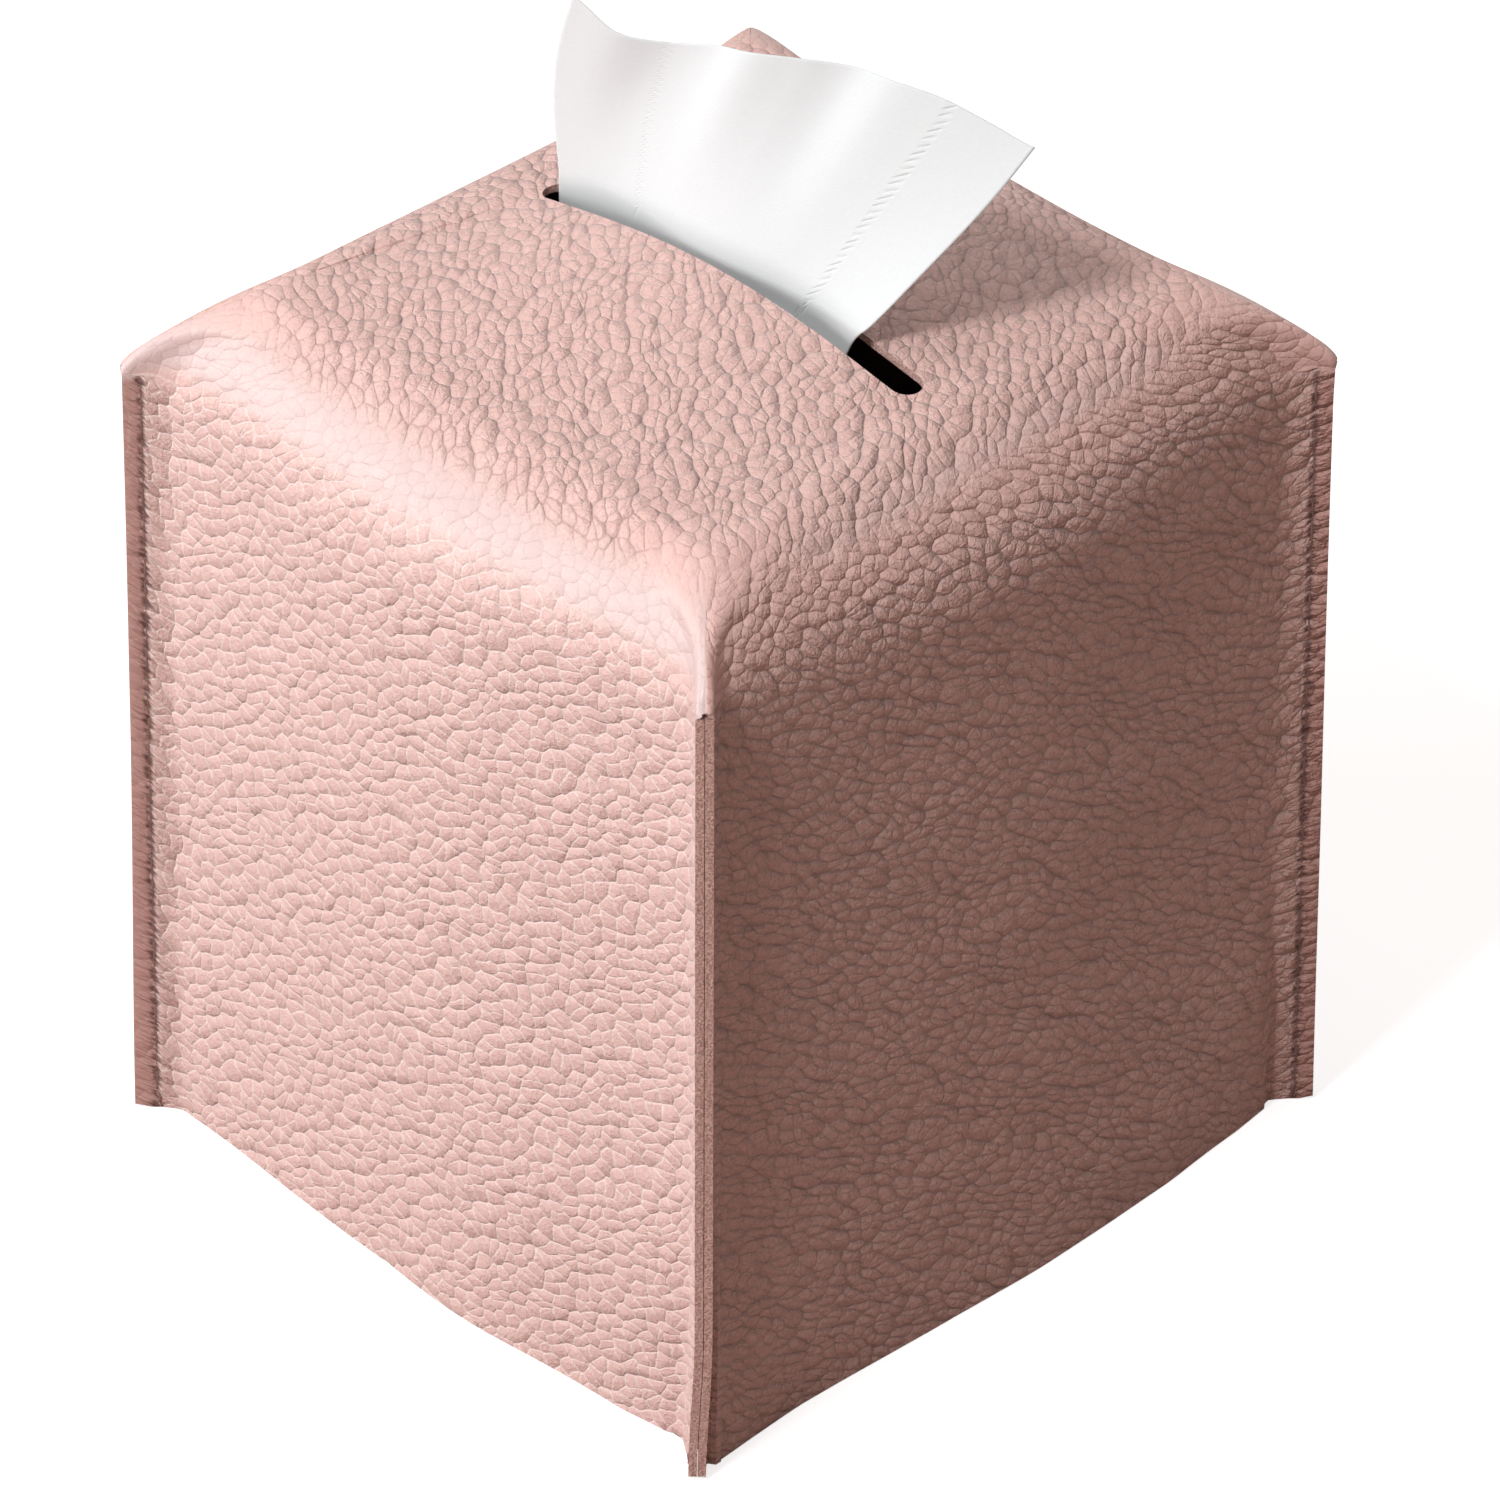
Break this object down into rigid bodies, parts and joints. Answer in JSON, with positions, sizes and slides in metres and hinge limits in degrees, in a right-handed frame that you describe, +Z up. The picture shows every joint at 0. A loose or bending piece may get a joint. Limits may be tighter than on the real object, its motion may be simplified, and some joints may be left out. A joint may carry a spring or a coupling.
{
  "type": "tissue box cover",
  "caption": "Soft sewn leather cover that drops over a cube carton of tissues: open below, standing seams at the corners, a slot on top with a tissue in it.",
  "frame": {"origin": "centre of the open bottom, on the surface that the hem stands on", "axes": "+Z up; X along the slot; Y across the slot, with the front wall at -Y"},
  "size_m": [0.1314, 0.1384, 0.1935],
  "materials": {
    "pebbled_leather": "pebble-grained pink leather, satin, with raw cut edges",
    "sewing_thread": "twisted polyester thread, pale greyish pink",
    "tissue_paper": "soft white two-ply tissue with crimped edges"
  },
  "bodies": {
    "cover": {"cover_panel": "pebbled_leather", "front_right_needle_thread": "sewing_thread", "front_right_bobbin_thread": "sewing_thread", "back_right_needle_thread": "sewing_thread", "back_right_bobbin_thread": "sewing_thread", "back_left_needle_thread": "sewing_thread", "back_left_bobbin_thread": "sewing_thread", "front_left_needle_thread": "sewing_thread", "front_left_bobbin_thread": "sewing_thread"},
    "tissue": {"tissue_sheet": "tissue_paper"}
  },
  "joints": [
    {"name": "tissue_pull", "type": "slide", "parent": "cover", "child": "tissue", "axis": [0, 0, 1], "range_m": [0, 0.024]}
  ]
}
